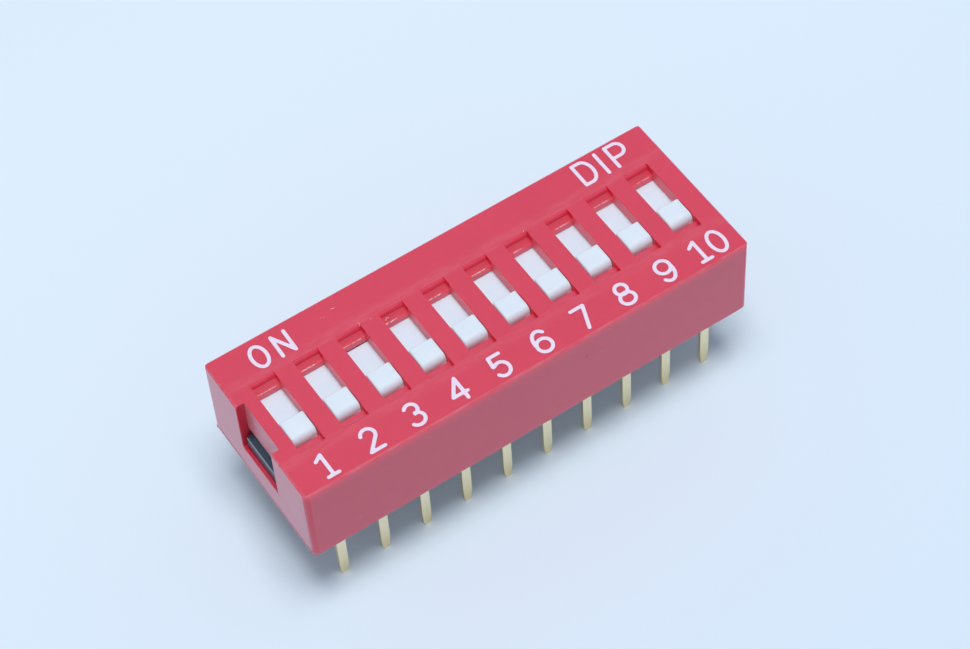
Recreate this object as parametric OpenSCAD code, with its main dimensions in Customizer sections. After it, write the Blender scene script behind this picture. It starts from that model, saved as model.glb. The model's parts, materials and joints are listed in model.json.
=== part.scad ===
// Slide switch block for circuit boards: a row of small slide switches in one moulded housing.
// Millimetres. The origin is the centre of the seat on the board, +Z points away from the board,
// +X runs along the numbered row and +Y points to the side where the switches are on.

/* [Row of switches] */
// Number of switches in the row
positions = 10; // [2:1:12]
// Distance from one switch to the next
pitch = 2.54; // [2.3:0.01:3]
// Distance between the two rows of terminals
row_spacing = 7.62; // [7:0.01:10.16]

/* [Cover] */
// Height of the cover from its rim to its top
cover_h = 5.4; // [5:0.1:6.5]
// Height of the cover's rim above the board
standoff = 0.5; // [0.3:0.05:0.8]
// Thickness of the top plate around the slots
plate_t = 0.8; // [0.5:0.01:0.9]
// Thickness of the two long walls
side_wall = 0.7; // [0.5:0.05:1.2]
// Thickness of the two end walls
end_wall = 1.04; // [0.8:0.02:1.4]
// Radius of the four upright corners
corner_r = 0.3; // [0.1:0.05:0.5]
// Radius of the top edges
top_r = 0.15; // [0.05:0.05:0.3]

/* [Slots] */
// Width of each slot
slot_w = 1.46; // [1.1:0.02:1.5]
// Depth of the shallow pocket around each slot
pocket_depth = 0.37; // [0.2:0.01:0.45]
// Length of the flat ledge at each end of a slot
ledge_l = 0.48; // [0.3:0.02:0.8]
// Length of the round shoulder where a pocket runs out onto the top
pocket_ramp = 0.2; // [0.05:0.05:0.3]
// Radius of the ledge's edge towards the slot
ledge_round = 0.06; // [0.03:0.01:0.15]

/* [Sliders] */
// Travel from off to on
travel = 2.2; // [1.6:0.02:2.3]
// Length of the finger knob along the travel
knob_l = 1.46; // [1.2:0.02:1.8]
// Height of the knob above the top of the cover
knob_proud = 0.1; // [0:0.02:0.3]
// Radius of the knob's leading top edge
knob_round = 0.5; // [0.1:0.05:0.6]
// Radius of the knob's trailing top edge
knob_back = 0.16; // [0.04:0.02:0.3]
// Radius of the top edges along the knob's sides
knob_edge = 0.08; // [0.04:0.02:0.2]
// Radius of the knob's two leading upright edges
knob_corner = 0.3; // [0.1:0.05:0.5]
// Width of the slider under the top plate
slider_w = 1.66; // [1.6:0.02:2]
// Thickness of plastic between the slider's top and its contact
slider_roof = 0.75; // [0.5:0.05:1]
// Thickness of the slider's walls beside its contact
slider_wall = 0.18; // [0.12:0.02:0.3]

/* [Base] */
// Room for the sliders between the contact floor and the top plate
cell_h = 1.7; // [1.65:0.01:2.4]
// Width of the seat that touches the board between the terminal rows
seat_w = 5.2; // [3:0.1:6]
// Height of the relieved strips that keep the terminals clear of the board
relief_h = 0.3; // [0.1:0.05:0.5]
// Plastic outside each row of terminals
terminal_cover = 0.215; // [0.15:0.005:0.5]

/* [Latches] */
// Width of the notch and windows in the cover's ends
notch_w = 3.4; // [2:0.1:5]
// Depth of the open notch in the first end
notch_depth = 0.5; // [0.3:0.02:0.7]
// Depth of the catch below the contact floor
latch_root = 1; // [0.7:0.05:1.5]
// Height of the lead-in ramp above the contact floor
latch_rise = 0.2; // [0.1:0.05:1]
// Height of the upright lip at the catch
latch_lip = 0.75; // [0.3:0.05:0.9]
// Reach of the catch out of the base
latch_reach = 0.87; // [0.4:0.01:1]

/* [Terminals] */
// Thickness of the terminal strip
terminal_t = 0.25; // [0.2:0.01:0.3]
// Width of the pin below the base
pin_w = 0.55; // [0.4:0.01:0.7]
// Length of the pin below the seat
pin_l = 4.1; // [2.5:0.1:5]
// Length of the pin's tapered tip
tip_l = 0.9; // [0.2:0.05:1.5]
// Width at the end of the tip
tip_w = 0.42; // [0.15:0.01:0.5]
// Radius of the two corners of the tip
tip_r = 0.12; // [0.03:0.01:0.2]
// Width of the terminal inside the base
pad_w = 1.1; // [0.8:0.05:1.3]
// Height above the board where the terminal widens
shoulder_h = 0.9; // [0.6:0.05:1.5]
// Inner radius of the terminal's bend
bend_r = 0.2; // [0.1:0.05:0.4]
// Bare floor between the two contact pads of a switch
pad_gap = 1; // [0.6:0.05:1.2]

/* [Moving contacts] */
// Thickness of the contact spring
contact_t = 0.12; // [0.08:0.01:0.16]
// Distance from the spring's middle to each of its humps
contact_reach = 1.42; // [1.2:0.02:1.6]
// Half length of the spring's flat middle
contact_flat = 0.4; // [0.2:0.05:0.6]
// Length of the toe beyond each hump
contact_toe = 0.4; // [0.2:0.05:0.5]
// Radius of each hump
contact_round = 0.24; // [0.16:0.02:0.3]

/* [Clearances] */
// Between the base and the cover
cover_fit = 0.05; // [0.02:0.01:0.1]
// Between a slider and what guides it from the sides
side_gap = 0.05; // [0.03:0.01:0.1]
// Between a slider and the top plate
slide_gap = 0.03; // [0.02:0.01:0.06]
// Between a slider and the contact floor
floor_gap = 0.32; // [0.2:0.02:0.5]
// Between a knob and the sides of its slot
knob_gap = 0.02; // [0.02:0.01:0.06]
// Between a knob and the ends of its slot
stop_gap = 0.03; // [0.01:0.01:0.05]
// Between the ends of a slider and the cover's long walls
end_gap = 0.16; // [0.1:0.02:0.6]
// Between the end of a slider and the end of its slot
slot_gap = 0.02; // [0.02:0.02:0.2]
// Between a terminal and the plastic moulded round it
mould_gap = 0.01; // [0.005:0.005:0.03]
// Between a contact spring and what it touches
contact_gap = 0.03; // [0.02:0.01:0.05]
// Between a latch and the window that it fills
latch_gap = 0.05; // [0.03:0.01:0.1]
// Between a latch and the sides of its window
latch_side_gap = 0.4; // [0.1:0.05:0.6]

/* [Hidden] */
$fn = 48;
eps = 0.01;
shoulder_steps = 6;

// Heights above the board
rim_z = standoff;
top_z = rim_z + cover_h;
plate_z = top_z - plate_t;
floor_z = plate_z - cell_h;
ledge_z = top_z - pocket_depth;
slider_z = plate_z - slide_gap;
slider_foot_z = floor_z + floor_gap;
roof_z = slider_z - slider_roof;
rib_z = plate_z - cover_fit;
catch_z = floor_z - latch_root;
latch_top_z = floor_z + latch_rise;
sill_z = catch_z - latch_gap;
window_z = latch_top_z + latch_gap;

// Sizes along the travel
slot_l = travel + knob_l + 2 * stop_gap;
pocket_l = slot_l + 2 * ledge_l;
slider_l = slot_l + travel - 2 * slot_gap;
sweep_l = slider_l + travel;
row_w = row_spacing + terminal_t + 2 * terminal_cover;
inner_w = max(row_w + 2 * cover_fit, sweep_l + 2 * end_gap);
cover_w = inner_w + 2 * side_wall;
base_w = inner_w - 2 * cover_fit;

// Sizes along the row
cell_w = slider_w + 2 * side_gap;
rib_t = pitch - cell_w;
base_l = (positions - 1) * pitch + cell_w;
inner_l = base_l + 2 * cover_fit;
cover_l = inner_l + 2 * end_wall;
latch_w = notch_w - 2 * latch_side_gap;
knob_w = slot_w - 2 * knob_gap;
contact_pocket_w = slider_w - 2 * slider_wall;
contact_w = contact_pocket_w - 2 * side_gap;
contact_pocket_l = 2 * (contact_reach + contact_toe + contact_gap);

// The rest position is off: the knob stands at the -Y end of its slot
rest_y = -travel / 2;
pad_gap_y = rest_y + contact_reach;
front_pad_l = row_spacing / 2 + pad_gap_y - pad_gap / 2;
back_pad_l = row_spacing / 2 - pad_gap_y - pad_gap / 2;

RED = [0.80, 0.22, 0.29];
BLACK = [0.16, 0.18, 0.20];
WHITE = [0.90, 0.92, 0.95];
CHAMPAGNE = [0.86, 0.82, 0.68];
GOLD = [0.84, 0.68, 0.36];

numbers = [for (i = [1:positions]) i];

// Place of a switch along the row
function switch_x(i) = (i - (positions + 1) / 2) * pitch;

// Box centred on the Z axis, with its lower face at z
module block(l, w, z, h) {
    translate([-l / 2, -w / 2, z]) cube([l, w, h]);
}

// Rectangle centred on the origin with round corners
module round_rect(l, w, r) {
    square([l - 2 * r, w], center = true);
    square([l, w - 2 * r], center = true);
    for (x = [-1, 1], y = [-1, 1])
        translate([x * (l / 2 - r), y * (w / 2 - r)]) circle(r);
}

// Rectangle on the X axis with round upper corners of two radii
module round_top(l, h, r_left, r_right) {
    difference() {
        translate([-l / 2, 0]) square([l, h]);
        translate([-l / 2, h]) corner(r_left);
        translate([l / 2, h]) mirror([1, 0]) corner(r_right);
    }
}

// What a rounding takes off an upper left corner
module corner(r) {
    difference() {
        translate([-eps, -r]) square([r + eps, r + eps]);
        translate([r, -r]) circle(r);
    }
}

// Extrudes a profile drawn in Y and Z along X, to both sides of x = 0
module along_x(l) {
    translate([-l / 2, 0, 0]) rotate([90, 0, 90]) linear_extrude(l) children();
}

// Extrudes a profile drawn in X and Z along Y, to both sides of y = 0
module along_y(l) {
    translate([0, l / 2, 0]) rotate([90, 0, 0]) linear_extrude(l) children();
}

// Side view of one slot: the shallow pocket, its ledges and the opening for the knob
module slot_profile() {
    over = 2 * eps;
    translate([-slot_l / 2, plate_z - over]) square([slot_l, plate_t + 2 * over]);
    for (side = [0, 1]) mirror([side, 0]) {
        polygon(concat(
            [[-eps, top_z + over], [-eps, ledge_z]],
            [for (a = [0:90 / shoulder_steps:90])
                [pocket_l / 2 + pocket_ramp * (1 - cos(a)), ledge_z + pocket_depth * sin(a)]],
            [[pocket_l / 2 + pocket_ramp, top_z + over]]
        ));
        translate([slot_l / 2, ledge_z]) corner(ledge_round);
    }
}

// Red shell with a stepped slot for each slider and a latch window in each end
module cover() {
    color(RED) difference() {
        intersection() {
            translate([0, 0, rim_z]) linear_extrude(cover_h) round_rect(cover_l, cover_w, corner_r);
            translate([0, 0, rim_z]) along_x(cover_l) round_top(cover_w, cover_h, top_r, top_r);
            translate([0, 0, rim_z]) along_y(cover_w) round_top(cover_l, cover_h, top_r, top_r);
        }
        block(inner_l, inner_w, rim_z - eps, plate_z - rim_z + eps);
        for (i = numbers) translate([switch_x(i), 0, 0]) along_x(slot_w) slot_profile();
        block(cover_l + 2 * eps, notch_w, sill_z, window_z - sill_z);
        translate([-cover_l / 2, 0, 0]) block(2 * notch_depth, notch_w, sill_z, top_z - sill_z + eps);
    }
}

// Snap catch on the +X end of the base, with a ramp that the cover slides over
module latch() {
    along_y(latch_w) polygon([
        [base_l / 2 - eps, catch_z],
        [base_l / 2 + latch_reach, catch_z],
        [base_l / 2 + latch_reach, catch_z + latch_lip],
        [base_l / 2 + cover_fit, latch_top_z],
        [base_l / 2, latch_top_z],
        [base_l / 2, floor_z],
        [base_l / 2 - eps, floor_z]
    ]);
}

// Black base: contact floor, ribs between the switches, seat and latches
module base() {
    color(BLACK) difference() {
        union() {
            block(base_l, base_w, relief_h, floor_z - relief_h);
            block(base_l, seat_w, 0, relief_h + eps);
            for (i = [1:positions - 1])
                translate([switch_x(i + 0.5), 0, 0]) block(rib_t, base_w, floor_z - eps, rib_z - floor_z + eps);
            for (end = [0, 1]) mirror([end, 0, 0]) latch();
        }
        for (i = numbers) {
            front_terminal_shape(i, mould_gap);
            back_terminal_shape(i, mould_gap);
        }
    }
}

// White slider with its finger knob, and a pocket below that carries the contact
module slider(i) {
    color(WHITE) translate([switch_x(i), rest_y, 0]) {
        difference() {
            block(slider_w, slider_l, slider_foot_z, slider_z - slider_foot_z);
            block(contact_pocket_w, contact_pocket_l, slider_foot_z - eps, roof_z - slider_foot_z + eps);
        }
        knob_h = top_z + knob_proud - slider_z;
        translate([0, 0, slider_z]) intersection() {
            along_x(knob_w) round_top(knob_l, knob_h, knob_round, knob_back);
            along_y(knob_l) round_top(knob_w, knob_h, knob_edge, knob_edge);
            translate([0, knob_l / 2, 0]) linear_extrude(knob_h)
                rotate(180) round_top(knob_w, knob_l, knob_corner, knob_corner);
        }
    }
}

// Half of the contact spring's side view: a flat middle, a leg down to the hump and a raised toe
module contact_half_profile() {
    top = roof_z - contact_gap - contact_t / 2;
    bottom = floor_z + contact_gap + contact_t / 2;
    toe_z = bottom + contact_round;
    points = [
        [0, top],
        [contact_flat, top],
        [contact_reach - contact_round, bottom + contact_round / 2],
        [contact_reach, bottom],
        [contact_reach + contact_toe - contact_t / 2, toe_z]
    ];
    for (k = [0:len(points) - 2]) strip(points[k], points[k + 1]);
}

// One straight stretch of sheet with round ends, drawn around its middle line
module strip(a, b) {
    d = b - a;
    translate(a) rotate(atan2(d[1], d[0])) translate([0, -contact_t / 2]) square([norm(d), contact_t]);
    translate(a) circle(contact_t / 2);
    translate(b) circle(contact_t / 2);
}

// Contact spring that bridges the two pads of a switch when it is on
module contact(i) {
    color(GOLD) translate([switch_x(i), rest_y, 0]) along_x(contact_w) {
        contact_half_profile();
        mirror([1, 0]) contact_half_profile();
    }
}

// Terminal bent from strip: a pin through the board and a pad that lies in the contact floor
module terminal_shape(pad_l, gap) {
    outer = bend_r + terminal_t;
    half_t = terminal_t / 2;
    along_x(pad_w + 2 * gap) {
        translate([-half_t - gap, shoulder_h - gap])
            square([terminal_t + 2 * gap, floor_z - outer - shoulder_h + gap]);
        translate([outer - half_t, floor_z - terminal_t - gap])
            square([pad_l - outer + half_t + gap, terminal_t + 2 * gap]);
        translate([outer - half_t, floor_z - outer]) intersection() {
            difference() {
                circle(outer + gap);
                circle(bend_r - gap);
            }
            translate([-outer - gap, 0]) square(outer + gap);
        }
    }
    along_y(terminal_t + 2 * gap) pin_profile(gap);
}

// Front view of a pin, with a tapered tip and round corners at its end
module pin_profile(gap) {
    half_pin = pin_w / 2 + gap;
    half_tip = tip_w / 2;
    polygon([
        [-half_tip, tip_r - pin_l],
        [tip_r - half_tip, -pin_l],
        [half_tip - tip_r, -pin_l],
        [half_tip, tip_r - pin_l],
        [half_pin, tip_l - pin_l],
        [half_pin, shoulder_h + eps],
        [-half_pin, shoulder_h + eps],
        [-half_pin, tip_l - pin_l]
    ]);
    for (side = [-1, 1]) translate([side * (half_tip - tip_r), tip_r - pin_l]) circle(tip_r);
}

// Terminal on the side of the numbers, always under the contact
module front_terminal_shape(i, gap) {
    translate([switch_x(i), -row_spacing / 2, 0]) terminal_shape(front_pad_l, gap);
}

// Terminal on the far side, which the contact reaches when the switch is on
module back_terminal_shape(i, gap) {
    translate([switch_x(i), row_spacing / 2, 0]) mirror([0, 1, 0]) terminal_shape(back_pad_l, gap);
}

module front_terminal(i) {
    color(CHAMPAGNE) front_terminal_shape(i, 0);
}

module back_terminal(i) {
    color(CHAMPAGNE) back_terminal_shape(i, 0);
}

cover();
base();
for (i = numbers) {
    slider(i);
    contact(i);
    front_terminal(i);
    back_terminal(i);
}
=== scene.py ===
import json
import math
import bpy
from mathutils import Matrix, Vector

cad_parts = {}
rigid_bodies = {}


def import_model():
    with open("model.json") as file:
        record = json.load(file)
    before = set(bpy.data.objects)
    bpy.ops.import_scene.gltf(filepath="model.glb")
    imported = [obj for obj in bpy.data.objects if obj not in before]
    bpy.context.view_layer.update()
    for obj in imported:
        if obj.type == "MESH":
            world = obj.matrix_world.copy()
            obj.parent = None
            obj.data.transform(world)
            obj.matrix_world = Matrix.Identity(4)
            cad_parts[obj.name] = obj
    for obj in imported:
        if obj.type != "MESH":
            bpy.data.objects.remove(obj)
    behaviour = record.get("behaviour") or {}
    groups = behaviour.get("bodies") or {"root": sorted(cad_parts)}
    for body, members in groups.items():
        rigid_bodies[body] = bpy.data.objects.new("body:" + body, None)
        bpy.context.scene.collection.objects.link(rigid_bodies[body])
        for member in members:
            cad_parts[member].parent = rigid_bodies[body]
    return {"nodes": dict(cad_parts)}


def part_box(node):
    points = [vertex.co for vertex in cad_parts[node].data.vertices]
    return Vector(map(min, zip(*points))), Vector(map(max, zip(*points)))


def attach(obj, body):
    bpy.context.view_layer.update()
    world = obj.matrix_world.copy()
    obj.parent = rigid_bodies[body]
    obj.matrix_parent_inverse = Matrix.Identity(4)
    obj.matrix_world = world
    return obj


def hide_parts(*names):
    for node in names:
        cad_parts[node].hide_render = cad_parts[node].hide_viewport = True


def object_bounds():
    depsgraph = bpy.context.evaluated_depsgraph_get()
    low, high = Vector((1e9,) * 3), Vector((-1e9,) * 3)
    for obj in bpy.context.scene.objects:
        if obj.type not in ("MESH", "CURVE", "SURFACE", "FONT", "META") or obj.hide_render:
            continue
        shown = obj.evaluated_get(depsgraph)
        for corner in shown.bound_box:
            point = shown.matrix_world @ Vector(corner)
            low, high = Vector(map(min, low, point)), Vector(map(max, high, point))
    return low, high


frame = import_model()
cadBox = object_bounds()
mm = 0.001
close = 0.01        # millimetres within which two places count as one
numbers = range(1, 11)
print("frame loaded, box in mm:", [round(side / mm, 2) for side in cadBox[1] - cadBox[0]])


# Small helpers for working on one object at a time

def pick(piece):
    bpy.ops.object.select_all(action="DESELECT")
    piece.select_set(True)
    bpy.context.view_layer.objects.active = piece


def edit(piece, how="EDGE"):
    pick(piece)
    bpy.ops.object.mode_set(mode="EDIT")
    bpy.ops.mesh.select_mode(type=how)


def done():
    bpy.ops.object.mode_set(mode="OBJECT")


def settle(piece):          # puts the piece's place into its mesh
    pick(piece)
    bpy.ops.object.transform_apply(location=True, rotation=True, scale=True)


def apply(piece, kind, **settings):     # one modifier, added and applied at once
    pick(piece)
    bpy.ops.object.modifier_add(type=kind)
    modifier = piece.modifiers[-1]
    for key, value in settings.items():
        setattr(modifier, key, value)
    bpy.ops.object.modifier_apply(modifier=modifier.name)


def smooth(piece, angle=40):    # round edges shade softly while flat faces stay flat
    pick(piece)
    bpy.ops.object.shade_smooth_by_angle(angle=math.radians(angle))
    apply(piece, "WEIGHTED_NORMAL", keep_sharp=True, weight=100)


def copyNode(node, name):   # a merged copy of a CAD node's mesh, to be worked on
    piece = bpy.data.objects.new(name, frame["nodes"][node].data.copy())
    bpy.context.scene.collection.objects.link(piece)
    edit(piece, "VERT")
    bpy.ops.mesh.select_all(action="SELECT")
    bpy.ops.mesh.remove_doubles(threshold=0.0001 * mm)
    bpy.ops.mesh.dissolve_limited(angle_limit=math.radians(0.5))
    done()
    return piece


def copyPiece(piece, name, shift):      # another of the same moulding, with its own mesh
    pick(piece)
    bpy.ops.object.duplicate()
    twin = bpy.context.object
    twin.name = name
    twin.location = shift
    settle(twin)
    return twin


def place(corner):          # a point in millimetres
    return corner / mm


def metres(spot):           # the other way, for plain numbers
    return tuple(value * mm for value in spot)


def nodeShift(node, first):
    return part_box(node)[0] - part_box(first)[0]


def selectEdges(piece, wanted, sharpness):
    edit(piece)
    bpy.ops.mesh.select_all(action="DESELECT")
    bpy.ops.mesh.edges_select_sharp(sharpness=math.radians(sharpness))
    done()
    spots = piece.data.vertices
    chosen = []
    for edge in piece.data.edges:
        a, b = (place(spots[v].co) for v in edge.vertices)
        chosen.append(edge.select and wanted(a, b))
    edit(piece)
    bpy.ops.mesh.select_all(action="DESELECT")
    done()
    for edge, keep in zip(piece.data.edges, chosen):
        edge.select = keep
    return sum(chosen)


def selectFaces(piece, wanted):
    edit(piece, "FACE")
    bpy.ops.mesh.select_all(action="DESELECT")
    done()
    for face in piece.data.polygons:
        face.select = wanted(place(face.center), face.normal)
    edit(piece, "FACE")


def cut(piece, axis, spots):    # new edges all round where planes cross the piece, places in millimetres
    side = Vector((axis == "X", axis == "Y", axis == "Z"))
    edit(piece)
    for spot in spots:
        bpy.ops.mesh.select_all(action="SELECT")
        bpy.ops.mesh.bisect(plane_co=side * spot * mm, plane_no=side, threshold=0.0001 * mm)
    done()


def join(parts, name):
    bpy.ops.object.select_all(action="DESELECT")
    for part in parts:
        part.select_set(True)
    bpy.context.view_layer.objects.active = parts[0]
    bpy.ops.object.join()
    whole = bpy.context.object
    whole.name = name
    settle(whole)
    return whole


def slotMiddle(i):
    return place(sum(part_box(f"slider_{i}"), Vector()) / 2).x


def anyEdge(a, b):
    return True


def roundEdges(piece, radius, segments=2, wanted=anyEdge, sharpness=35):
    count = selectEdges(piece, wanted, sharpness)
    edit(piece)
    bpy.ops.mesh.bevel(offset=radius * mm, segments=segments, profile=0.5, clamp_overlap=False)
    done()
    return count


def dress(piece, finish, body):
    piece.data.materials.clear()
    piece.data.materials.append(finishes[finish])
    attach(piece, body)


# Shader sockets that can be added and multiplied like numbers

class Wire:
    def __init__(self, finish, socket):
        self.finish = finish
        self.socket = socket

    def work(self, operation, first, second, clamp=False):
        settings = {"operation": operation, "use_clamp": clamp}
        return self.finish.node("ShaderNodeMath", settings, {0: first, 1: second})

    def __add__(self, other):
        return self.work("ADD", self, other)

    def __radd__(self, other):
        return self.work("ADD", other, self)

    def __sub__(self, other):
        return self.work("SUBTRACT", self, other)

    def __rsub__(self, other):
        return self.work("SUBTRACT", other, self)

    def __mul__(self, other):
        return self.work("MULTIPLY", self, other)

    def __rmul__(self, other):
        return self.work("MULTIPLY", other, self)

    def above(self, level, sharpness):      # 0 below the level, rising to 1
        return self.work("MULTIPLY", self - level, sharpness, clamp=True)

    def below(self, level, sharpness):      # 0 above the level, rising to 1 under it
        return self.work("MULTIPLY", level - self, sharpness, clamp=True)


class Finish:
    def __init__(self, owner, shader="Principled BSDF", output="Material Output"):
        self.owner = owner
        self.owner.use_nodes = True
        self.tree = self.owner.node_tree
        self.shader = self.tree.nodes[shader]
        self.output = self.tree.nodes[output]

    def node(self, kind, settings=None, inputs=None, out=0):
        made = self.tree.nodes.new(kind)
        for key, value in (settings or {}).items():
            setattr(made, key, value)
        for key, value in (inputs or {}).items():
            self.feed(made.inputs[key], value)
        return Wire(self, made.outputs[out])

    def feed(self, socket, value):
        if isinstance(value, Wire):
            self.tree.links.new(value.socket, socket)
        else:
            socket.default_value = value

    def noise(self, perMm, detail=2.0, roughness=0.5, stretch=(1, 1, 1)):
        spot = self.node("ShaderNodeMapping", {}, {"Vector": self.place, "Scale": stretch})
        inputs = {"Vector": spot, "Scale": perMm / mm, "Detail": detail, "Roughness": roughness}
        return self.node("ShaderNodeTexNoise", {}, inputs)

    def along(self, axis):      # place along one axis, in millimetres
        return self.node("ShaderNodeSeparateXYZ", {}, {0: self.place}, out=axis) * (1 / mm)

    def size(self, value):      # without its sign
        return self.node("ShaderNodeMath", {"operation": "ABSOLUTE"}, {0: value})

    def near(self, spot, radius):       # 1 at a spot given in millimetres, 0 beyond the radius
        inputs = {0: self.place, 1: metres(spot)}
        away = self.node("ShaderNodeVectorMath", {"operation": "DISTANCE"}, inputs, out="Value")
        return (1 - away * (1 / (radius * mm))).above(0, 3)

    def blend(self, factor, first, second):
        first, second = ((*tone, 1) if isinstance(tone, tuple) else tone for tone in (first, second))
        return self.node("ShaderNodeMix", {"data_type": "RGBA"}, {0: factor, 6: first, 7: second}, out=2)

    def bump(self, height, deep):
        return self.node("ShaderNodeBump", {}, {"Height": height, "Distance": deep * mm})

    def surface(self, **sockets):
        for name, value in sockets.items():
            self.feed(self.shader.inputs[name.replace("_", " ")], value)
        return self.owner

    # a glow that only the picture sees, not the light on the part
    def shown(self, share, kind, colour):
        rays = ("Camera", "Glossy", "Transmission")
        camera, glossy, through = (self.node("ShaderNodeLightPath", out=f"Is {ray} Ray") for ray in rays)
        seen = through.work("MAXIMUM", through.work("MAXIMUM", camera, glossy), through)
        plain = Wire(self, self.shader.outputs[0])
        glow = self.node(kind, {}, {"Color": colour, "Strength": 1.0})
        mixed = self.node("ShaderNodeMixShader", {}, {0: share * seen, 1: plain, 2: glow})
        self.feed(self.output.inputs["Surface"], mixed)


def material(name):
    finish = Finish(bpy.data.materials.new(name))
    finish.place = finish.node("ShaderNodeTexCoord", out="Object")
    return finish


# Camera at the photograph's angle

cameraView = {
    "place": (-42.67, -74.43, 122.29),   # millimetres from the seat's centre
    "azimuth": -29.98,
    "elevation": 54.04,
    "roll": -4.52,
    "lens": 105.86,
    "sensor": 36,
    "nearest": 1,       # millimetres
    "farthest": 10000,
}


def makeCamera():
    turn, rise, roll = (math.radians(cameraView[key]) for key in ("azimuth", "elevation", "roll"))
    back = Vector((math.sin(turn) * math.cos(rise), -math.cos(turn) * math.cos(rise), math.sin(rise)))
    right = Vector((math.cos(turn), math.sin(turn), 0))
    up = back.cross(right)
    tilted = math.cos(roll) * right + math.sin(roll) * up
    upright = back.cross(tilted)
    bpy.ops.object.camera_add()
    camera = bpy.context.object
    camera.name = "camera"
    axes = Matrix((tilted, upright, back)).transposed().to_4x4()
    camera.matrix_world = Matrix.Translation(Vector(cameraView["place"]) * mm) @ axes
    camera.data.sensor_width = cameraView["sensor"]
    camera.data.lens = cameraView["lens"]
    camera.data.clip_start = cameraView["nearest"] * mm
    camera.data.clip_end = cameraView["farthest"] * mm
    bpy.context.scene.camera = camera


makeCamera()
print("camera placed")


# Floor, world and lamp

studio = {
    "paperFront": (0.70, 0.80, 0.90),       # paler towards the back: painted light, as the light on the floor grows towards the back
    "paperBack": (0.78, 0.875, 0.955),
    "paperReach": 60.0,
    "paperRoughness": 0.9,
    "paperShine": 0.1,
    "floorSize": 4.0,
    "veil": 0.08,       # light scattered in the lens, which lifts the shadows
    "skyColour": (0.84, 1.02, 1.24),
    "skyStrength": 0.345,
    "lampPlace": (-0.012, -0.055, 0.40),
    "lampSize": (0.16, 0.16),
    "lampWatts": 1.14,
}


def makeStudio():
    low = cadBox[0].z
    bpy.ops.mesh.primitive_plane_add(size=studio["floorSize"], location=(0, 0, low))
    floor = bpy.context.object
    floor.name = "floor"
    settle(floor)
    paper = material("palePaper")
    depth = (0.5 + paper.along("Y") * (1 / studio["paperReach"])).above(0, 1)
    tone = paper.blend(depth, studio["paperFront"], studio["paperBack"])
    floor.data.materials.append(paper.surface(
        Base_Color=tone,
        Roughness=studio["paperRoughness"],
        Specular_IOR_Level=studio["paperShine"],
    ))
    paper.shown(studio["veil"], "ShaderNodeEmission", tone)
    world = bpy.data.worlds.new("studioSky")
    bpy.context.scene.world = world
    sky = Finish(world, "Background", "World Output")
    sky.surface(Color=(*studio["skyColour"], 1), Strength=studio["skyStrength"])
    sky.shown(1.0, "ShaderNodeBackground", (*studio["paperBack"], 1))
    bpy.ops.object.light_add(type="AREA", location=studio["lampPlace"])
    lamp = bpy.context.object
    lamp.name = "softLamp"
    lamp.data.shape = "RECTANGLE"
    lamp.data.size, lamp.data.size_y = studio["lampSize"]
    lamp.data.energy = studio["lampWatts"]
    aim = Vector((0, 0, 0)) - lamp.location
    lamp.rotation_euler = aim.to_track_quat("-Z", "Y").to_euler()
    bpy.context.scene.view_settings.view_transform = "Standard"


makeStudio()
print("studio lit")


# Finishes, with places in millimetres, each beside how sharply the finish changes there

redFinish = {
    "dark": (0.61, 0.017, 0.060),
    "light": (0.69, 0.027, 0.076),
    "streak": (0.69, 0.033, 0.086),
    "topReflection": (0.75, 0.36, 0.40),             # painted reflection on the top, where the coat is thinned
    "shaded": (0.62, 0.008, 0.034),         # the far end of the notch
    # painted shade on the far ledges, at the foot of the far walls
    "farLedgeShade": (0.54, 0.010, 0.042),
    "farWallLight": (0.86, 0.060, 0.120),        # painted light on the wall from a far ledge up to the top
    # painted pale light on the near ledges, bounced from the white knobs beside them
    "nearLedgeLight": (0.66, 0.055, 0.105),
    "paleBand": (0.80, 0.30, 0.36),           # a paler, scratched band along the top just beyond the slots' ends
    "lit": (0.88, 0.024, 0.072),            # light from the top comes out again near its edge
    "edgeHighlight": (0.72, 0.12, 0.18),             # painted highlight along the top's outer edge, broken up by scratches
    "dust": (0.85, 0.55, 0.60),
    "pit": (0.16, 0.02, 0.04),
    "pitPlace": (3.2, -4.9, 4.25),
    "pitSize": 0.09,
    "lightReach": (0.4, 0.05, 0.08),        # how far red, green and blue light travel inside
    "coatRoughness": 0.32,
    "sheenTint": (0.80, 0.84, 1.0, 1.0),
}

redPlaces = {
    "top": (5.86, 40),
    "slotsTop": (5.87, 30),
    "slotsEnd": (12.4, 20),
    "notchTop": (5.86, 30),
    "notchBack": (-12.6, 10),
    "notchMouth": (-13.36, 30),
    "notchShade": (0.5, 0.9),
    "farLedgeFront": (1.7, 1.6),
    "farLedgeTop": (5.6, 20),
    "farWallFront": (2.2, 20),
    "farWallFoot": (5.56, 20),
    "farEnd": (2.45, 20),
    "nearLedgeBack": (-1.8, 10),
    "nearEnd": (-2.36, 20),
    "paleBandFrom": (2.35, 6),
    "paleBandTo": (3.2, 3),
    "side": (4.76, 15),
    "end": (13.26, 15),
    "litFrom": (5.05, 1.35),
    "litTo": (5.93, 8),
    "highlightFrom": (5.74, 15),
}


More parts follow.
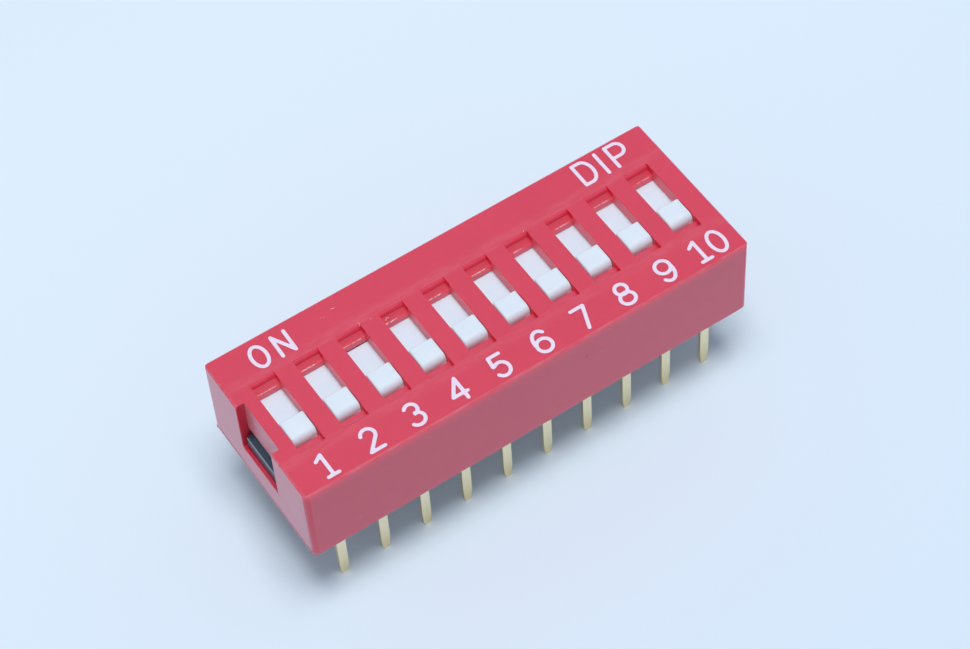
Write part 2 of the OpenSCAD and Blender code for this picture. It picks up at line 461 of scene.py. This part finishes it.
def redMoulding():
    plastic = material("redMoulding")
    tone, at = redFinish, redPlaces
    cloud = plastic.noise(0.25, 3)
    streak = plastic.noise(1.2, 3, 0.6, (0.12, 1, 1))       # flow of the melt along the row
    grain = plastic.noise(9, 2)
    skin = plastic.noise(1.6, 3)
    scratch = plastic.noise(3.5, 3, 0.65, (0.25, 1, 1)).above(0.38, 4)
    dust = plastic.noise(3.2, 1).above(0.83, 30)
    pit = plastic.near(tone["pitPlace"], tone["pitSize"])
    x, y, z = (plastic.along(axis) for axis in "XYZ")
    lengthways, aside = plastic.size(x), plastic.size(y)
    inSlots = z.below(*at["slotsTop"]) * lengthways.below(*at["slotsEnd"])
    inNotch = x.below(*at["notchBack"]) * x.above(*at["notchMouth"]) * z.below(*at["notchTop"])
    shaded = inNotch * y.above(*at["notchShade"])
    inFarEnd = inSlots * y.below(*at["farEnd"])
    farLedgeShade = inFarEnd * y.above(*at["farLedgeFront"]) * z.below(*at["farLedgeTop"])
    farWallLight = inFarEnd * y.above(*at["farWallFront"]) * z.above(*at["farWallFoot"])
    nearLedgeLight = inSlots * y.below(*at["nearLedgeBack"]) * y.above(*at["nearEnd"])
    top = z.above(*at["top"])
    paleBand = aside.above(*at["paleBandFrom"]) * aside.below(*at["paleBandTo"]) * top
    side, end = aside.above(*at["side"]), lengthways.above(*at["end"])
    lit = z.above(*at["litFrom"]) * z.below(*at["litTo"])
    edgeHighlight = (side + end) * z.above(*at["highlightFrom"]) * (0.2 + 0.9 * scratch)
    layers = {
        "streak": 0.35 * streak,
        "topReflection": 0.05 * top,
        "shaded": shaded,
        "farLedgeShade": farLedgeShade,
        "farWallLight": farWallLight,
        "nearLedgeLight": 0.9 * nearLedgeLight,
        "paleBand": (0.03 + 0.08 * scratch) * paleBand,
        "lit": (side + 0.5 * end) * lit * lit,
        "edgeHighlight": edgeHighlight,
        "dust": 0.5 * dust,
        "pit": 0.7 * pit,
    }
    colour = plastic.blend(cloud, tone["dark"], tone["light"])
    for layer, share in layers.items():
        colour = plastic.blend(share, colour, tone[layer])
    height = grain + 0.9 * skin + 0.6 * dust + 1.2 * scratch * paleBand - 2 * pit
    return plastic.surface(
        Base_Color=colour,
        Roughness=0.28 + 0.14 * skin + 0.10 * streak + 0.22 * top + 0.2 * farLedgeShade,
        Coat_Weight=(0.4 + 0.3 * skin) * (1 - 0.8 * top - 0.9 * farLedgeShade - 0.9 * shaded),
        Coat_Roughness=tone["coatRoughness"],
        Subsurface_Weight=0.5,
        Subsurface_Radius=metres(tone["lightReach"]),
        Subsurface_Scale=1.0,
        Sheen_Weight=0.48,
        Sheen_Roughness=0.3,
        Sheen_Tint=tone["sheenTint"],
        Normal=plastic.bump(height, 0.004),
    )


slotFinish = {
    "deep": (0.85, 0.016, 0.045),
    "pale": (0.92, 0.12, 0.17),     # painted light beside the white sliders, bounced from them
    "paleTo": (1.88, 50),
}


def slotRed():      # the slots' walls, out of the light, with painted light where the white sliders stand beside them
    plastic = material("slotRed")
    skin = plastic.noise(1.6, 3)
    beside = plastic.size(plastic.along("Y")).below(*slotFinish["paleTo"])
    return plastic.surface(
        Base_Color=plastic.blend(beside, slotFinish["deep"], slotFinish["pale"]),
        Roughness=0.36 + 0.14 * skin,
        Coat_Weight=0.3 * beside,
        Coat_Roughness=redFinish["coatRoughness"],
        Specular_IOR_Level=0.4,
        Subsurface_Weight=0.5,
        Subsurface_Radius=metres(redFinish["lightReach"]),
        Subsurface_Scale=1.0,
        Normal=plastic.bump(skin, 0.004),
    )


paleFlashFinish = {
    "fresh": (0.66, 0.05, 0.10),
    "pale": (0.92, 0.50, 0.56),
}


# pale where the thin flash is whitened, with painted highlight along the ledges' edges
def paleFlashRed():
    plastic = material("paleFlashRed")
    pale = plastic.noise(8, 3)
    return plastic.surface(
        Base_Color=plastic.blend(pale.above(0.35, 4), paleFlashFinish["fresh"], paleFlashFinish["pale"]),
        Roughness=0.25 + 0.2 * pale,
        Coat_Weight=0.6 + 0.3 * pale,
        Coat_Roughness=0.2,
        Normal=plastic.bump(pale, 0.006),
    )


whiteFinish = {
    "knob": ((0.70, 0.76, 0.83), (0.76, 0.81, 0.87)),
    "flat": ((0.665, 0.80, 0.89), (0.715, 0.85, 0.93)),     # behind the knob, down in the slot, painted bluer than the knob to cancel the red light bounced there
    "knobFrontShade": (0.62, 0.54, 0.58),       # painted shade at the knob's front, pinkish from light bounced off the red
    "flatTop": (5.45, 6),
    "knobFrontShadeFrom": (-1.5, 3),
    "lightReach": (0.5, 0.45, 0.4),
}


def whiteMoulding():
    plastic = material("whiteMoulding")
    cloud = plastic.noise(0.8, 2)
    grain = plastic.noise(7, 2)
    low = plastic.along("Z").below(*whiteFinish["flatTop"])
    front = plastic.along("Y").below(*whiteFinish["knobFrontShadeFrom"])
    knob = plastic.blend(cloud, *whiteFinish["knob"])
    flat = plastic.blend(cloud, *whiteFinish["flat"])
    # painted shade, tinted by the red, over the knob's front
    knob = plastic.blend(0.6 * front, knob, whiteFinish["knobFrontShade"])
    return plastic.surface(
        Base_Color=plastic.blend(low, knob, flat),
        Roughness=0.52 + 0.12 * grain,
        Specular_IOR_Level=0.35,
        Subsurface_Weight=0.4,
        Subsurface_Radius=metres(whiteFinish["lightReach"]),
        Subsurface_Scale=1.0,
        Normal=plastic.bump(grain, 0.003),
    )


blackFinish = {
    # the blue in these near-blacks is painted reflection of the pale surroundings
    "dark": (0.012, 0.028, 0.048),
    "light": (0.020, 0.038, 0.062),
    "edgeHighlight": (0.30, 0.38, 0.46),         # painted highlight along the latches' lips
    "lipFromMiddle": 13.18,
    "lipHeight": 3.15,
    "highlightWide": 0.07,
}


def blackMoulding():
    plastic = material("blackMoulding")
    grain = plastic.noise(6, 3)
    outward = plastic.size(plastic.along("X")) - blackFinish["lipFromMiddle"]
    upward = plastic.along("Z") - blackFinish["lipHeight"]
    away = plastic.node("ShaderNodeMath", {"operation": "SQRT"}, {0: outward * outward + upward * upward})
    # painted highlight along each latch's lip
    edgeHighlight = (1 - away * (1 / blackFinish["highlightWide"])).above(0, 2) * (0.5 + 0.5 * grain)
    colour = plastic.blend(grain, blackFinish["dark"], blackFinish["light"])
    return plastic.surface(
        Base_Color=plastic.blend(edgeHighlight, colour, blackFinish["edgeHighlight"]),
        Roughness=0.26 + 0.2 * grain,
        Normal=plastic.bump(grain, 0.004),
    )


pinFinish = {
    "dark": (0.84, 0.75, 0.50),
    "light": (0.93, 0.84, 0.60),
    "tip": (0.92, 0.76, 0.44),
    "tipFrom": (-1.25, 0.28),
}


def platedPin():
    metal = material("platedPin")
    streak = metal.noise(3, 4, 0.6, (6, 6, 0.5))
    lower = metal.along("Z").below(*pinFinish["tipFrom"])
    pale = metal.blend(streak, pinFinish["dark"], pinFinish["light"])
    return metal.surface(
        Base_Color=metal.blend(lower, pale, pinFinish["tip"]),
        Metallic=1.0,
        Roughness=0.26 + 0.16 * streak,
        Normal=metal.bump(streak, 0.003),
    )


goldFinish = {
    "dark": (0.80, 0.56, 0.22),
    "light": (0.90, 0.66, 0.30),
}


def goldContact():
    metal = material("goldContact")
    streak = metal.noise(4, 3, 0.6, (6, 0.6, 6))
    return metal.surface(
        Base_Color=metal.blend(streak, goldFinish["dark"], goldFinish["light"]),
        Metallic=1.0,
        Roughness=0.2 + 0.15 * streak,
    )


inkFinish = {
    "thin": (0.76, 0.62, 0.755),
    "full": (0.88, 0.745, 0.875),
}


def whiteInk():
    ink = material("whiteInk")
    cloud = ink.noise(5, 3)
    return ink.surface(
        Base_Color=ink.blend(cloud, inkFinish["thin"], inkFinish["full"]),
        Roughness=0.5 + 0.1 * cloud,
        Normal=ink.bump(cloud, 0.004),
    )


makers = (redMoulding, slotRed, paleFlashRed, whiteMoulding, blackMoulding, platedPin, goldContact, whiteInk)
finishes = {make.__name__: make() for make in makers}
print("finishes mixed:", len(finishes))


# Cover: the moulded shell with its edges broken and a parting line above the rim

coverShape = {
    "edgeRadius": 0.035,
    "rimRound": 0.04,           # all round the slots' mouths
    "ledgeHeight": 5.53,
    "ledgeEnd": 2.34,
    "ledgeRound": 0.03,         # the hollow where a ledge runs up to the top
    "slotsInset": 0.9,          # the slots keep this far from the ends
    "slotsMargin": 0.3,         # and reach less than this past their ledges
    "slotsDepth": 0.82,
    "slotsReach": 1.9,          # cross walls this near the middle line the slots
    "partingHeight": 0.22,      # above the rim
    "partingWide": 0.05,
    "partingDeep": 0.045,
}


def makeCover():
    shape = coverShape
    cover = copyNode("cover", "coverShell")
    low, high = (place(corner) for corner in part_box("cover"))

    slotsBottom = high.z - shape["slotsDepth"]

    def amongSlots(*points):
        length = high.x - shape["slotsInset"]
        width = shape["ledgeEnd"] + shape["slotsMargin"]
        return all(abs(p.x) < length and abs(p.y) < width for p in points)

    def onRim(a, b):
        return amongSlots(a, b) and min(a.z, b.z) > high.z - close

    def inHollow(a, b):
        level = all(abs(p.z - shape["ledgeHeight"]) < close for p in (a, b))
        return level and all(abs(abs(p.y) - shape["ledgeEnd"]) < close for p in (a, b))

    def awayFromSlots(a, b):
        return not (amongSlots(a, b) and min(a.z, b.z) > slotsBottom)

    count = roundEdges(cover, shape["ledgeRound"], 2, inHollow)
    count += roundEdges(cover, shape["rimRound"], 3, onRim)
    count += roundEdges(cover, shape["edgeRadius"], wanted=awayFromSlots)

    bottom = low.z + shape["partingHeight"]
    top = bottom + shape["partingWide"]
    cut(cover, "Z", (bottom, top))

    def onLine(centre, normal):
        return bottom < centre.z < top and abs(centre.x) > high.x - 2 * close and abs(normal.x) > 0.9

    selectFaces(cover, onLine)
    inward = {"value": -shape["partingDeep"] * mm}
    bpy.ops.mesh.extrude_region_shrink_fatten(TRANSFORM_OT_shrink_fatten=inward)
    done()
    smooth(cover)
    dress(cover, "redMoulding", "housing")

    def slotWall(centre, normal):
        upright = abs(normal.x) > 0.7 or (abs(normal.y) > 0.7 and abs(centre.y) < shape["slotsReach"])
        return amongSlots(centre) and slotsBottom < centre.z < high.z - close and upright

    cover.data.materials.append(finishes["slotRed"])
    selectFaces(cover, slotWall)
    cover.active_material_index = 1
    bpy.ops.object.material_slot_assign()
    done()
    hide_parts("cover")
    print("cover edges broken:", count)


makeCover()


# Base: the black moulding behind the windows and under the cover

baseShape = {
    "edgeRadius": 0.03,
    "latchStart": 12.36,        # the latches stand beyond this, from the middle
    "latchWiden": 1.2,
}


def makeBase():
    base = copyNode("base", "baseMoulding")
    count = roundEdges(base, baseShape["edgeRadius"])
    selectFaces(base, lambda centre, normal: abs(centre.x) > baseShape["latchStart"])
    bpy.ops.transform.resize(value=(1, baseShape["latchWiden"], 1), center_override=(0, 0, 0))
    done()
    smooth(base)
    dress(base, "blackMoulding", "housing")
    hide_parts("base")
    print("base edges broken:", count)


makeBase()


# Sliders: one is worked on, the others are copies of it

sliderShape = {
    "edgeRadius": 0.04,
    "flat": 5.07,
    "knobSides": (-0.715, 0.67),        # from the slot's middle
    "knobEnds": (-1.83, -0.41),
    "knobRoot": 4.95,
    "knobRound": 0.38,           # over the top of the front
    "knobEdge": 0.1,
    "backReach": 0.06,          # how far the back end runs on under the plate
    "shortBacks": {3: 0.05, 6: 0.02},       # the two whose back end stops short of it
}


def makeKnob(middle, top):      # a block rounded over its front, then along all its edges
    shape = sliderShape
    low = Vector((middle + shape["knobSides"][0], shape["knobEnds"][0], shape["knobRoot"]))
    high = Vector((middle + shape["knobSides"][1], shape["knobEnds"][1], top))
    bpy.ops.object.select_all(action="DESELECT")
    bpy.ops.mesh.primitive_cube_add(size=1)
    knob = bpy.context.object
    knob.scale = (high - low) * mm
    knob.location = (high + low) / 2 * mm
    settle(knob)

    def overFront(a, b):
        return min(a.z, b.z) > top - close and max(a.y, b.y) < low.y + close

    def aboveRoot(a, b):
        return max(a.z, b.z) > low.z + 10 * close

    roundEdges(knob, shape["knobRound"], 8, overFront)
    roundEdges(knob, shape["knobEdge"], 4, aboveRoot)
    return knob


def makeSliders():
    first = copyNode("slider_1", "sliderMoulding1")
    selectFaces(first, lambda centre, normal: centre.z > sliderShape["flat"] + close)
    bpy.ops.mesh.delete(type="FACE")
    bpy.ops.mesh.select_mode(type="EDGE")
    bpy.ops.mesh.select_all(action="DESELECT")
    bpy.ops.mesh.select_non_manifold()
    bpy.ops.mesh.edge_face_add()
    done()
    roundEdges(first, sliderShape["edgeRadius"], 3, sharpness=25)
    knob = makeKnob(slotMiddle(1), place(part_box("slider_1")[1]).z)
    apply(first, "BOOLEAN", operation="UNION", solver="EXACT", object=knob)
    bpy.data.objects.remove(knob)
    for i in numbers:
        node = f"slider_{i}"
        shift = nodeShift(node, "slider_1")
        slider = first if i == 1 else copyPiece(first, f"sliderMoulding{i}", shift)
        backEnd = place(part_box(node)[1]).y
        short = sliderShape["shortBacks"].get(i)
        reach = -short if short else sliderShape["backReach"]
        selectFaces(slider, lambda centre, normal: centre.y > backEnd - 10 * close)
        bpy.ops.transform.translate(value=(0, reach * mm, 0))
        done()
        dress(slider, "whiteMoulding", f"switch_{i}")
        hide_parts(node)
    for i in numbers:
        smooth(bpy.data.objects[f"sliderMoulding{i}"], 50)
    print("sliders made:", len(numbers))


makeSliders()


# Terminals: one stamping for each row, copied along it

pinShape = {"edgeRadius": 0.03}


def makeTerminals():
    for side in ("front", "back"):
        first = copyNode(f"{side}_terminal_1", f"{side}Pin1")
        roundEdges(first, pinShape["edgeRadius"])
        smooth(first)
        for i in numbers:
            node = f"{side}_terminal_{i}"
            shift = nodeShift(node, f"{side}_terminal_1")
            pin = first if i == 1 else copyPiece(first, f"{side}Pin{i}", shift)
            dress(pin, "platedPin", "housing")
            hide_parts(node)
    for i in numbers:
        contact = frame["nodes"][f"contact_{i}"]
        contact.data.materials.clear()
        contact.data.materials.append(finishes["goldContact"])
    print("terminals and contacts finished")


makeTerminals()


# Flash: ragged slivers that the mould left on the cover

flash = {
    "ragged": 0.35,                     # shares of a sliver's width
    "cuts": 0.7,
    "rimSeed": 20,
    "bitSeed": 30,
    "ledgeLine": (1.87, 5.52),          # place of the ledges' front edge, in y and z
    "ledges": {1: (-0.6, 0.5, 0.045), 2: (-0.6, 0.3, 0.07), 3: (-0.65, 0.45, 0.04), 4: (-0.66, 0.1, 0.09),
               5: (-0.6, 0.2, 0.07), 6: (-0.5, 0.4, 0.07), 7: (-0.5, 0.1, 0.06), 8: (-0.4, 0.5, 0.05),
               9: (-0.5, 0.5, 0.05), 10: (-0.3, 0.5, 0.04)},
    "rim": ((-13.2, -4.85, 0.475), (13.2, -4.85, 0.475), 0.05),
    "bits": [
        ((-13.35, 4.84, 0.52), (-13.35, 4.85, 0.26), 0.06),
        ((-5.72, 2.30, 5.89), (-5.62, 2.44, 5.94), 0.045),
        ((-5.62, 2.44, 5.94), (-5.70, 2.54, 5.92), 0.035),
        ((-4.34, 2.04, 5.55), (-4.20, 2.16, 5.58), 0.06),
        ((-4.20, 2.16, 5.58), (-4.06, 2.12, 5.55), 0.05),
        ((4.38, 2.42, 5.89), (4.46, 2.56, 5.93), 0.045),
        ((-5.02, 2.36, 5.905), (-4.96, 2.38, 5.905), 0.05),
        ((-2.98, 0.62, 5.87), (-2.96, 0.70, 5.87), 0.045),
        ((-0.44, 0.98, 5.87), (-0.42, 1.05, 5.87), 0.045),
        ((4.66, 0.30, 5.87), (4.68, 0.38, 5.87), 0.045),
        ((7.55, 0.20, 5.905), (7.59, 0.22, 5.905), 0.05),
        ((-6.35, 4.08, 5.905), (-6.12, 4.02, 5.905), 0.03),
        ((-7.10, 3.92, 5.905), (-6.86, 3.84, 5.905), 0.025),
    ],
}


def makeSliver(start, stop, wide, seed):
    start, stop = Vector(start), Vector(stop)
    run = stop - start
    bpy.ops.object.select_all(action="DESELECT")
    bpy.ops.mesh.primitive_cube_add(size=1)
    sliver = bpy.context.object
    sliver.scale = Vector((run.length, wide, wide)) * mm
    settle(sliver)
    selectEdges(sliver, lambda a, b: abs(a.x - b.x) > run.length / 2, 35)
    edit(sliver)
    bpy.ops.mesh.subdivide(number_cuts=max(2, round(flash["cuts"] * run.length / wide)))
    bpy.ops.mesh.select_all(action="SELECT")
    bpy.ops.transform.vertex_random(offset=flash["ragged"] * wide * mm, seed=seed)
    done()
    apply(sliver, "SUBSURF", levels=1, render_levels=1)
    sliver.rotation_euler = run.to_track_quat("X", "Z").to_euler()
    sliver.location = (start + stop) / 2 * mm
    settle(sliver)
    return sliver


def makeFlash():
    y, z = flash["ledgeLine"]
    ledges = []
    for i, (left, right, wide) in flash["ledges"].items():
        middle = slotMiddle(i)
        ledges.append(makeSliver((middle + left, y, z), (middle + right, y, z), wide, i))
    groups = {
        "ledgeFlash": ledges,
        "rimFlash": [makeSliver(*flash["rim"], flash["rimSeed"])],
        "looseBits": [makeSliver(*bit, flash["bitSeed"] + k) for k, bit in enumerate(flash["bits"])],
    }
    for name, slivers in groups.items():
        piece = join(slivers, name)
        smooth(piece, 60)
        dress(piece, "redMoulding" if name == "rimFlash" else "paleFlashRed", "housing")
    print("flash left on the cover:", sum(len(slivers) for slivers in groups.values()), "slivers")


makeFlash()


# Print: strokes of white ink on the top, drawn in millimetres about each sign's middle

arcStep = 12        # degrees from point to point


def arc(x, y, wide, high, start, stop):
    steps = max(4, round(abs(stop - start) / arcStep))
    turns = [math.radians(start + (stop - start) * k / steps) for k in range(steps + 1)]
    return [(x + wide * math.cos(t), y + high * math.sin(t)) for t in turns]


signs = {
    "O": [arc(0, 0, 0.41, 0.68, 0, 360)],
    "N": [[(-0.39, -0.67), (-0.36, 0.67), (0.37, -0.67), (0.40, 0.67)]],
    "D": [[(-0.43, 0.72), (-0.43, -0.72), *arc(0, 0, 0.45, 0.72, -90, 90), (-0.43, 0.72)]],
    "I": [[(0, -0.72), (0, 0.72)]],
    "P": [[(-0.42, -0.74), (-0.42, 0.72), *arc(0.08, 0.30, 0.40, 0.42, 90, -90), (-0.42, -0.12)]],
    "0": [arc(0, 0, 0.41, 0.70, 0, 360)],
    "1": [[(-0.40, 0.42), (-0.02, 0.68), (-0.02, -0.68)], [(-0.32, -0.68), (0.28, -0.68)]],
    "2": [[*arc(0, 0.30, 0.38, 0.38, 165, -40), (-0.38, -0.68), (0.40, -0.68)]],
    "3": [arc(0, 0.34, 0.34, 0.34, 150, -80), arc(0, -0.30, 0.40, 0.38, 80, -150)],
    "4": [[(0.22, -0.68), (0.22, 0.68), (-0.42, -0.30), (0.42, -0.30)]],
    "5": [[(0.34, 0.68), (-0.28, 0.68), (-0.34, 0.08), *arc(0, -0.24, 0.40, 0.44, 130, -150)]],
    "6": [arc(0.03, 0, 0.44, 0.68, 45, 190), arc(0, -0.26, 0.41, 0.42, 0, 360)],
    "7": [[(-0.36, 0.66), (0.38, 0.66), (-0.10, -0.68)]],
    "8": [arc(0, 0.34, 0.33, 0.34, 0, 360), arc(0, -0.30, 0.41, 0.38, 0, 360)],
    "9": [arc(-0.03, 0, 0.44, 0.68, 225, 370), arc(0, 0.26, 0.41, 0.42, 0, 360)],
}

printing = {
    "stroke": 0.215,
    "thick": 0.012,
    "sunk": 0.002,
    "sharpTurn": 35,        # degrees
    "strokeRound": 3,
    "endRound": (16, 8),
    "voxel": 0.024,
    "softened": 4,
    "words": {
        "printOn": [("O", -10.82, 3.66), ("N", -9.42, 3.66)],
        "printDip": [("D", 9.26, 3.82), ("I", 10.27, 3.82), ("P", 11.35, 3.85)],
        "printTen": [("1", 11.07, -3.82), ("0", 12.12, -3.82)],
    },
    "numberRow": -3.82,
}


def straightRuns(points):   # the points, split where the stroke turns sharply
    runs = [points[:2]]
    for before, here, there in zip(points, points[1:], points[2:]):
        turn = Vector(here) - Vector(before)
        if turn.angle(Vector(there) - Vector(here)) > math.radians(printing["sharpTurn"]):
            runs.append([here])
        runs[-1].append(there)
    return runs


def drawStroke(points):     # a round stroke along the points, one unit to the millimetre
    bpy.ops.mesh.primitive_plane_add(size=0.1)
    stroke = bpy.context.object
    edit(stroke, "VERT")
    bpy.ops.mesh.select_all(action="SELECT")
    bpy.ops.mesh.merge(type="CENTER")
    bpy.ops.transform.translate(value=(*points[0], 0))
    for here, there in zip(points, points[1:]):
        step = (there[0] - here[0], there[1] - here[1], 0)
        bpy.ops.mesh.extrude_region_move(TRANSFORM_OT_translate={"value": step})
    done()
    bpy.ops.object.convert(target="CURVE")
    stroke = bpy.context.object
    stroke.data.bevel_depth = printing["stroke"] / 2
    stroke.data.bevel_resolution = printing["strokeRound"]
    stroke.data.use_fill_caps = True
    bpy.ops.object.convert(target="MESH")
    parts = [bpy.context.object]
    segments, rings = printing["endRound"]
    for end in (points[0], points[-1]):
        bpy.ops.mesh.primitive_uv_sphere_add(segments=segments, ring_count=rings,
                                             radius=printing["stroke"] / 2, location=(*end, 0))
        parts.append(bpy.context.object)
    return parts


def printWord(name, letters, top):
    parts = []
    for letter, x, y in letters:
        for points in signs[letter]:
            for run in straightRuns(points):
                parts += drawStroke([(x + px, y + py) for px, py in run])
    word = join(parts, name)
    apply(word, "REMESH", mode="VOXEL", voxel_size=printing["voxel"])
    apply(word, "SMOOTH", factor=0.5, iterations=printing["softened"])
    edit(word)
    bpy.ops.mesh.select_all(action="SELECT")
    bpy.ops.mesh.bisect(plane_co=(0, 0, 0), plane_no=(0, 0, 1), clear_inner=True, use_fill=True)
    done()
    flat = printing["thick"] / (printing["stroke"] / 2)
    word.scale = (mm, mm, flat * mm)
    word.location = (0, 0, (top - printing["sunk"]) * mm)
    settle(word)
    pick(word)
    bpy.ops.object.shade_smooth_by_angle(angle=math.radians(50))
    dress(word, "whiteInk", "housing")
    return len(word.data.polygons)


def makePrint():
    top = place(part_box("cover")[1]).z
    words = dict(printing["words"])
    for i in range(1, 10):
        words[f"printNumber{i}"] = [(str(i), slotMiddle(i), printing["numberRow"])]
    faces = sum(printWord(name, letters, top) for name, letters in words.items())
    print("print made:", len(words), "pieces,", faces, "faces")


makePrint()
